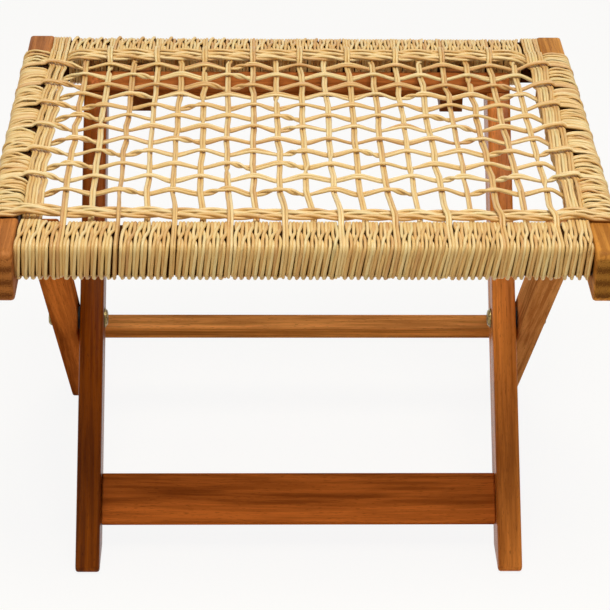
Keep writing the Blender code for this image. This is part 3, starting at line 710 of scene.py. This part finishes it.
def sideWrap(name):
    rail, shape = rails[name], sideWraps
    slots = sorted(y for j, y in wefts if weftOver(sideColumn, j))
    marks = [shape["front"]] + slots + [shape["rear"]]
    turns = []
    for first, second in zip(marks, marks[1:]):
        low = first + (0.0 if first == marks[0] else shape["slotHalf"])
        high = second - (0.0 if second == marks[-1] else shape["slotHalf"])
        count = round((high - low) / shape["pitch"])
        turns += [(mixed(low, high, (k + 0.5) / count), (k + 0.5) / count) for k in range(count)]
    laps, route = lapStations(rail, 0, 5), []
    least, most = shape["innerLimits"]
    smoothStart, smoothEnd = shape["smooth"]
    for n, (place, share) in enumerate(turns):
        before = (place - turns[n - 1][0]) / 2 if n else shape["pitch"] / 2
        after = (turns[n + 1][0] - place) / 2 if n + 1 < len(turns) else shape["pitch"] / 2
        wobble = jitter(shape["jitter"])
        pull = shape["bunch"] * share ** shape["bunchPower"] * (place < slots[-1])
        pull *= shape["frontBunch"] if place < slots[0] else 1.0
        inside = min(most, max(least, place))
        outer = place - sideLean(place)
        knots = [(0, inside - before), (1, inside), (shape["innerLap"], inside)]
        knots += [(lap, mixed(place, outer, lap - 2) - pull * fade + wobble)
                  for lap, fade in shape["bunchFade"]]
        knots += [(4, outer), (5, inside + after)]
        cross, under = dice.uniform(*shape["cross"]), dice.uniform(*shape["underCross"])
        swaps = flip(shape["crossChance"])
        tilt = jitter(shape["tilt"])
        tint = dice.random()
        high = dice.random() * shape["rough"]
        for lap in laps[min(n, 1):]:
            rough = 1 - eased((lap - smoothStart) / (smoothEnd - smoothStart))
            turn = swaps * (eased((lap - cross) / shape["crossLength"] + 0.5)
                            + eased((lap - under) / shape["underLength"] + 0.5))
            turn += tilt * rough * math.sin(math.pi * lap / 5)
            lift = strandRadius + crown(lap) + high * rough
            lift += cordSizes["Spread"] * abs(math.sin(turn)) * shape["crossLift"]
            route.append((onRail(rail, lap, stepped(knots, lap), lift), turn, alongY, tint))
    return route


thinStrand = {"Cord Diameter": sideWraps["strand"]}
for name, _ in sides:
    cordPiece(name + "RailCord", [sideWrap(name)], [name + "_rail_wrap"], **thinStrand)


def filled(stations, parts=4):
    # with further stations in between
    more = [mixed(first, second, k / parts)
            for first, second in zip(stations, stations[1:]) for k in range(parts)]
    return more + stations[-1:]


def sideTurn(y, tilts):
    # a pair turns a little between one weft over the band and the next
    for n, (high, low) in enumerate(zip(bands["sideMarks"], bands["sideMarks"][1:])):
        if y > low:
            return tilts[n] * math.sin(math.pi * min(1, max(0, (high - y) / (high - low))))
    return 0.0


def sideBandRoutes(name, sign):
    routes, lift = [], strandRadius * bands["rise"]
    rearLaps = lapStations(rails["rear"], *bands["rearLaps"])[::-1]
    for offset, rise in bands["sidePairs"]:
        x = sign * (bands["rearMiddle"] + offset)
        over = seatTop + bands["cornerOver"] + rise * bands["pairRise"]
        stations = [onRail(rails["rear"], lap, x, lift) for lap in rearLaps]
        stations += [Vector((x, y, over)) for y, _ in bands["rear"][::-2]]
        for j, y in wefts:
            x = sign * (sideMiddle(name, y) + offset) + jitter(bands["jitter"])
            level = zWeave + rise
            if weftOver(sideColumn, j):
                stations += [Vector((x - way * bands["shear"] / 2, y + way * bands["markHalf"],
                                     level - bands["dip"])) for way in (1, -1)]
            else:
                stations.append(Vector((x, y, level + bands["dip"])))
        x = sign * (sideMiddle(name, bands["frontMiddle"]) + offset)
        stations += [Vector((x, -y, seatTop + bands["cornerUnder"])) for y, _ in bands["front"][:2]]
        stations += [Vector((x, -weave["tuckPlace"], z)) for z in tuckLevels(*bands["sideTuck"])]
        tilts = [dice.uniform(*bands["tilts"]) * dice.choice((-1, 1)) for _ in bands["sideMarks"]]
        routes.append([(place, sideTurn(place.y, tilts), alongX, 0.0) for place in filled(stations)])
    return routes


def endBandRoutes(name, sign):
    routes, lift = [], strandRadius * bands["rise"]
    row = bandRows[name]

    def half(side, y, level):
        # from the weave outwards, over the side rail or down beside it
        if name == "front":
            corner = [(x, level + rise) for x, rise in bands["frontCorner"]]
            edge = sign * endPlace(name, y, side * bands["railPlace"])
            knots = ((2, edge), (3, edge - sideLean(edge)), (5, edge - sideLean(edge)))
            outer = overRail("left" if side < 0 else "right", knots, lift, bands["outerLap"])
        else:
            corner = [(x, level * share - fall) for x, share, fall in bands["rearCorner"]]
            x = side * (railInside - weave["wallGap"])
            outer = [Vector((x, min(y, weave["tuckPlace"]), z)) for z in tuckLevels(*bands["endTuck"])]
        inner = [Vector((side * x, sign * endPlace(name, y, side * x), seatTop + z)) for x, z in corner]
        return inner + outer

    for y, level in bands[name]:
        stations = half(-1, y, level)[::-1]
        for i in warps:
            x = warpPlace(i, sign * y, row)
            dip = bands["endDip"] * (1 if weftOver(i, row) else -1)
            if abs(x) < bands["inside"]:
                run = sign * endPlace(name, y, x) + jitter(bands["jitter"])
                stations.append(Vector((x, run, seatTop + level + dip)))
        stations += half(1, y, level)
        turn, route = dice.uniform(0, bands["startTurn"]), []
        for n, place in enumerate(stations):
            turn += 2 * math.pi * (place - stations[n - 1]).length / bands["endLay"] if n else 0.0
            route.append((place, turn, alongY, 0.0))
        routes.append(route)
    return routes


for name, sign in sides:
    cordPiece(name + "BandCord", sideBandRoutes(name, sign), [name + "_band"])
for name, sign in ends:
    cordPiece(name + "BandCord", endBandRoutes(name, sign), [name + "_band"], **thickStrand)


woodLook = {
    # per metre across the grain, share of that along it, detail, roughness
    "streaks": (252.0, 0.035, 4.0, 0.62), "fibres": (900.0, 0.049, 3.0, 0.6),
    "figure": (42.0, 0.05, 3.0, 0.55), "broad": (11.0, 0.25, 2.0, 0.5),
    "pores": (1500.0, 0.09, 1.0, 0.4),
    "bend": 0.014,
    "bendScale": (9.0, 9.0, 2.0),
    "blend": (0.5, 0.4, 0.3, -0.1),  # shares of figure, streaks and broad clouds, start
    "blendRange": (0.38, 0.62), "fibreRange": (0.52, 0.75), "fibreShare": 0.35,
    "poreRange": (0.64, 0.72), "poreShare": 0.45, "poreShade": 0.35,
    "roughness": {"inner": 0.24, "outer": 0.45, "x": 0.42, "y": 0.40},  # by the way of the grain
    "roughMix": (0.16, 0.08),  # of the fibres, less the streaks
    "gloss": {"inner": 0.06, "outer": 0.0, "x": 0.0, "y": 0.04},
    "bumpMix": (0.5, 0.5, 0.6),  # of the fibres and streaks, less the pores
    "bump": (0.0003, 0.35),
    "endFace": (0.2485, 0.2495),  # where the end grain of the side rails begins
    "endRings": {"Scale": 24.0, "Distortion": 4.0, "Detail": 2.0, "Detail Scale": 40.0},
    "endTones": (0.75, 0.8),
    "endShade": {"leftSideRailBoard": 0.95, "rightSideRailBoard": 0.68},
    "bare": (0.1815, 0.1850),  # where the side rails come out of the cord and their painted shade ends
    # share of the wood's dark tone kept under the cord: painted shade, not the wood's own colour
    "coveredShade": 0.2,
    "shift": (0.37, 0.11),  # from board to board, at the first
    "shiftWay": (1.0, 0.7, 2.3),
}
grainAlong = {"x": (0.0, -math.pi / 2, 0.0), "y": (math.pi / 2, 0.0, 0.0),
              "inner": (legLean, 0.0, 0.0), "outer": (-legLean, 0.0, 0.0)}


def darker(colour, share):
    return tuple(share * part for part in colour[:3]) + (1.0,)


def woodFinish(name, light, dark, grain, shift):
    # the grain runs along the turned Z axis
    look = woodLook
    material, wire, shader, plain = newFinish(name + "Wood")
    start = tuple(shift * way for way in look["shiftWay"])
    spot = wire.add("ShaderNodeMapping",
                    {"Vector": plain, "Location": start, "Rotation": grainAlong[grain]})
    inputs = {"Vector": spot * look["bendScale"], "Scale": 1.0, "Detail": 1.0}
    bend = wire.add("ShaderNodeTexNoise", inputs, "Color")
    swayed = spot + (bend - noiseMiddle) * look["bend"]

    def along(source, pattern):
        scale, stretch, detail, rough = look[pattern]
        return (source * (1.0, 1.0, stretch)).noise(scale, detail, rough)

    streaks, fibres, figure = (along(swayed, pattern) for pattern in ("streaks", "fibres", "figure"))
    broad = along(spot, "broad")
    pores = along(swayed, "pores").between(*look["poreRange"])
    figureShare, streakShare, broadShare, base = look["blend"]
    blend = figure.between(*look["blendRange"]) * figureShare
    blend = blend + streaks.between(*look["blendRange"]) * streakShare + broad * broadShare + base
    shade = blend.colour(dark, light)
    shade = (fibres.between(*look["fibreRange"]) * look["fibreShare"]).colour(shade, dark)
    shade = (pores * look["poreShare"]).colour(shade, darker(dark, look["poreShade"]))
    if "SideRail" in name:
        inputs = {"Vector": plain, **look["endRings"]}
        rings = wire.add("ShaderNodeTexWave", inputs, "Fac", bands_direction="Z")
        out = wire.add("ShaderNodeSeparateXYZ", {"Vector": plain}, "Y").calc("ABSOLUTE")
        # painted shade: the side rails are darkened where the cord covers them, standing in for the shade under
        # the cord
        shade = out.between(*look["bare"]).colour(darker(dark, look["coveredShade"]), shade)
        darkEnd, lightEnd = (share * look["endShade"][name] for share in look["endTones"])
        face = rings.colour(darker(dark, darkEnd), darker(light, lightEnd))
        shade = out.between(*look["endFace"]).colour(shade, face)
    roughFibres, roughStreaks = look["roughMix"]
    bumpFibres, bumpStreaks, bumpPores = look["bumpMix"]
    height = fibres * bumpFibres + streaks * bumpStreaks - pores * bumpPores
    setShader(wire, shader, {
        "Base Color": shade,
        "Roughness": look["roughness"][grain] + fibres * roughFibres - streaks * roughStreaks,
        "Normal": bumped(wire, height, look["bump"]),
        "Specular IOR Level": look["gloss"][grain],
    })
    return material


boards = {
    # node: body, lighter tone, darker tone, way of the grain
    "left_inner_leg": ("inner_frame", tone(162, 83, 10), tone(95, 41, 2), "inner"),
    "right_inner_leg": ("inner_frame", tone(235, 145, 65), tone(153, 83, 29), "inner"),
    "left_outer_leg": ("outer_frame", tone(211, 124, 58), tone(134, 67, 24), "outer"),
    "right_outer_leg": ("outer_frame", tone(249, 184, 118), tone(169, 106, 58), "outer"),
    "front_stretcher": ("inner_frame", tone(216, 118, 49), tone(132, 65, 22), "x"),
    "rear_stretcher": ("outer_frame", tone(245, 168, 92), tone(151, 95, 46), "x"),
    "top_bar": ("inner_frame", tone(189, 112, 56), tone(116, 60, 23), "x"),
    "left_side_rail": ("seat", tone(209, 134, 69), tone(132, 75, 33), "y"),
    "right_side_rail": ("seat", tone(235, 163, 73), tone(156, 96, 37), "y"),
    # the front and rear rails show only in the gaps between cords; their dark tones are painted shade
    "front_rail": ("seat", tone(84, 48, 22), tone(56, 30, 12), "x"),
    "rear_rail": ("seat", tone(84, 48, 22), tone(56, 30, 12), "x"),
    "left_cleat": ("seat", tone(140, 82, 40), tone(104, 56, 24), "y"),
    "right_cleat": ("seat", tone(140, 82, 40), tone(104, 56, 24), "y"),
}
softEdge = {"width": 0.0009, "segments": 2, "angle": math.radians(20)}
cleanUp = {"merge": 1e-5, "flat": math.radians(1)}


def boardPiece(node, body, light, dark, grain, shift):
    mesh = nodes[node].data.copy()
    form = bmesh.new()
    form.from_mesh(mesh)
    bmesh.ops.remove_doubles(form, verts=form.verts, dist=cleanUp["merge"])
    bmesh.ops.dissolve_limit(form, angle_limit=cleanUp["flat"], verts=form.verts, edges=form.edges)
    form.to_mesh(mesh)
    form.free()
    for face in mesh.polygons:
        face.use_smooth = True
    words = node.split("_")
    name = words[0] + "".join(word.capitalize() for word in words[1:]) + "Board"
    piece = placed(name, mesh)
    mesh.materials.clear()
    mesh.materials.append(woodFinish(piece.name, light, dark, grain, shift))
    soft = piece.modifiers.new("softEdge", "BEVEL")
    soft.width, soft.segments = softEdge["width"], softEdge["segments"]
    soft.limit_method, soft.angle_limit = "ANGLE", softEdge["angle"]
    soft.harden_normals = True
    finished = evaluated(piece)
    piece.modifiers.clear()
    piece.data = finished
    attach(piece, body)
    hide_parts(node)


shiftStep, shiftStart = woodLook["shift"]
for n, (node, (body, light, dark, grain)) in enumerate(boards.items()):
    boardPiece(node, body, light, dark, grain, shiftStep * n + shiftStart)
print("boards:", len(boards))


# noises: per metre, detail, roughness
metalLook = {"wear": (420.0, 3.0, 0.6), "wearRange": (0.35, 0.65), "fine": (2600.0, 2.0, 0.6),
             "roughMix": (0.2, 0.1), "bump": (0.00005, 0.3)}
plasticLook = {"cloud": (300.0, 3.0, 0.5), "grit": (3200.0, 2.0, 0.5), "roughness": 0.5, "roughSpread": 0.2,
               "bump": (0.00006, 0.4)}


def metalFinish(name, light, dark, roughness):
    material, wire, shader, spot = newFinish(name)
    wear = spot.noise(*metalLook["wear"])
    fine = spot.noise(*metalLook["fine"])
    roughShare, smoother = metalLook["roughMix"]
    setShader(wire, shader, {
        "Base Color": wear.between(*metalLook["wearRange"]).colour(dark, light),
        "Roughness": roughness + wear * roughShare - smoother,
        "Normal": bumped(wire, fine, metalLook["bump"]),
        "Metallic": 1.0,
    })
    return material


def plasticFinish(name, light, dark):
    material, wire, shader, spot = newFinish(name)
    cloud = spot.noise(*plasticLook["cloud"])
    grit = spot.noise(*plasticLook["grit"])
    setShader(wire, shader, {
        "Base Color": cloud.colour(dark, light),
        "Roughness": plasticLook["roughness"] + grit * plasticLook["roughSpread"],
        "Normal": bumped(wire, grit, plasticLook["bump"]),
    })
    return material


fittings = {
    "brass": metalFinish("satinBrass", tone(168, 148, 98), tone(98, 80, 48), 0.3),
    "steel": metalFinish("agedSteel", tone(86, 76, 66), tone(58, 50, 43), 0.6),
    "black_plastic": plasticFinish("blackWasher", tone(38, 38, 38), tone(22, 22, 22)),
}
brownedSteel = metalFinish("brownedSteel", tone(150, 86, 44), tone(112, 60, 28), 0.6)
for row in frame["record"]["subparts"]:
    if row["material_slot"] in fittings:
        fitting = nodes[row["node"]]
        fitting.data.materials.clear()
        finish = brownedSteel if "top_bar" in row["node"] else fittings[row["material_slot"]]
        fitting.data.materials.append(finish)

bolts = {
    "steps": 48, "shank": 0.0040,
    "socket": 0.0030,  # half the width of the hexagon for the key
    "seatGap": 0.0003,
    "flatter": 0.3,  # of the height of the plain bolt head
    # radius, share of the head's height from its top, share of the hexagon
    "head": ((0.0030, 0.52, 1.0), (0.0030, 0.05, 1.0), (0.0040, 0.0, 0.25), (0.0058, 0.04, 0.0),
             (0.0074, 0.18, 0.0), (0.0083, 0.40, 0.0), (0.0085, 0.60, 0.0), (0.0092, 0.62, 0.0),
             (0.0099, 0.68, 0.0), (0.0100, 0.78, 0.0), (0.0100, 0.94, 0.0), (0.0097, 1.0, 0.0)),
    "endEdge": 0.0005,
    "sharp": math.radians(38),
}


def boltPiece(name, sign):
    # a flanged button head with a hexagon socket, and its shank
    low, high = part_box(name + "_pivot_bolt")
    legLow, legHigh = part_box(name + "_inner_leg")
    tip, end = sorted((abs(low.x), abs(high.x)))
    seat = min(abs(legLow.x), abs(legHigh.x)) - bolts["seatGap"]
    tip = mixed(tip, seat, bolts["flatter"])
    rows = [(radius, mixed(tip, seat, share), hexagon) for radius, share, hexagon in bolts["head"]]
    shank, edge = bolts["shank"], bolts["endEdge"]
    rows += [(shank, seat, 0.0), (shank, end - edge, 0.0), (shank - edge, end, 0.0)]
    middle = hinges["leg_fold"]
    form = bmesh.new()
    rings = []
    for radius, out, hexagon in rows:
        ring = []
        for step in range(bolts["steps"]):
            angle = 2 * math.pi * step / bolts["steps"]
            flat = bolts["socket"] / math.cos((angle + math.pi / 6) % (math.pi / 3) - math.pi / 6)
            reach = mixed(radius, flat * radius / bolts["socket"], hexagon)
            ring.append(form.verts.new((sign * out, middle.y + reach * math.cos(angle),
                                        middle.z + reach * math.sin(angle))))
        rings.append(ring)
    for first, second in zip(rings, rings[1:]):
        for k in range(bolts["steps"]):
            after = (k + 1) % bolts["steps"]
            form.faces.new((first[k], first[after], second[after], second[k])).smooth = True
    form.faces.new(rings[0])
    form.faces.new(rings[-1])
    bmesh.ops.recalc_face_normals(form, faces=form.faces)
    mesh = bpy.data.meshes.new(name + "PivotScrew")
    form.to_mesh(mesh)
    form.free()
    mesh.set_sharp_from_angle(angle=bolts["sharp"])
    mesh.materials.append(fittings["brass"])
    piece = placed(name + "PivotScrew", mesh)
    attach(piece, "outer_frame")
    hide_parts(name + "_pivot_bolt")


for name, sign in sides:
    boltPiece(name, sign)
print("fittings finished")


view = {
    "place": (-0.0462, -1.9738, 1.3333), "yaw": 0.0270, "pitch": 0.5208,
    "roll": 0.0142, "lens": 130.37, "sensor": 36.0, "clipEnd": 50,
}


def placeCamera():
    camera = bpy.data.cameras.new("studioCamera")
    camera.lens, camera.sensor_width, camera.sensor_fit = view["lens"], view["sensor"], "HORIZONTAL"
    camera.clip_end = view["clipEnd"]
    turn = Vector((math.sin(view["yaw"]) * math.cos(view["pitch"]),
                   math.cos(view["yaw"]) * math.cos(view["pitch"]), -math.sin(view["pitch"])))
    right = turn.cross(Vector((0, 0, 1))).normalized()
    up = right.cross(turn)
    level, tip = math.cos(view["roll"]), math.sin(view["roll"])
    rows = Matrix((level * right + tip * up, level * up - tip * right, -turn)).transposed()
    made = placed("studioCamera", camera)
    made.matrix_world = Matrix.Translation(view["place"]) @ rows.to_4x4()
    scene.camera = made


placeCamera()

studio = {
    "floorSize": 30.0, "floorDrop": 0.0005, "floorTone": tone(246, 234, 206),
    "floorPaint": {"Roughness": 0.9, "Specular IOR Level": 0.1},
    "floorGlow": 0.90,  # share of plain white that the camera sees
    "worldLight": 0.17,
    # name: place, aim, size, watts, tone
    "lamps": {
        "overheadLamp": ((0.1, -0.6, 2.6), (0, 0, 0.2), (1.4, 1.0), 50, (1.0, 0.985, 0.96)),
        "frontLamp": ((-1.4, -2.6, 1.3), (0, 0, 0.2), (1.6, 1.4), 6.6, (1.0, 0.87, 0.66)),
        "rimLamp": ((1.8, 1.2, 1.8), (0, 0, 0.3), (1.2, 1.0), 5, (1.0, 1.0, 1.0)),
    },
}
plainWhite = (1, 1, 1, 1)


def seenWhite(wire):
    seen = wire.add("ShaderNodeLightPath", None, "Is Camera Ray")
    for name in ("Is Glossy Ray", "Is Transmission Ray"):
        seen = seen.calc("MAXIMUM", wire.add("ShaderNodeLightPath", None, name))
    return seen


def setStudio():
    size = studio["floorSize"] / 2
    mesh = bpy.data.meshes.new("studioFloor")
    corners = [(-size, -size, 0), (size, -size, 0), (size, size, 0), (-size, size, 0)]
    mesh.from_pydata(corners, [], [(0, 1, 2, 3)])
    floor = placed("studioFloor", mesh)
    floor.location.z = -studio["floorDrop"]
    material, wire, shader, _ = newFinish("studioFloorPaint")
    setShader(wire, shader, {"Base Color": studio["floorTone"], **studio["floorPaint"]})
    glow = wire.add("ShaderNodeEmission", {"Color": plainWhite})
    matte = Wire(wire.tree, shader.outputs["BSDF"])
    seen = seenWhite(wire) * studio["floorGlow"]
    both = wire.add("ShaderNodeMixShader", {0: seen, 1: matte, 2: glow})
    wire.plug(wire.tree.nodes["Material Output"].inputs["Surface"], both)
    mesh.materials.append(material)
    world = bpy.data.worlds.new("studioWorld")
    scene.world = world
    world.use_nodes = True
    tree = world.node_tree
    tree.nodes.clear()
    wire = Wire(tree)
    white = wire.add("ShaderNodeBackground", {"Color": plainWhite})
    soft = wire.add("ShaderNodeBackground", {"Color": plainWhite, "Strength": studio["worldLight"]})
    sky = wire.add("ShaderNodeMixShader", {0: seenWhite(wire), 1: soft, 2: white})
    out = tree.nodes.new("ShaderNodeOutputWorld")
    wire.plug(out.inputs["Surface"], sky)
    for name, (place, aim, size, watts, colour) in studio["lamps"].items():
        lamp = bpy.data.lights.new(name, "AREA")
        lamp.shape, (lamp.size, lamp.size_y) = "RECTANGLE", size
        lamp.energy, lamp.color = watts, colour
        made = placed(name, lamp)
        aimed = (Vector(aim) - Vector(place)).to_track_quat("-Z", "Y").to_matrix().to_4x4()
        made.matrix_world = Matrix.Translation(place) @ aimed


setStudio()
scene.view_settings.view_transform = "Standard"
print("studio set")
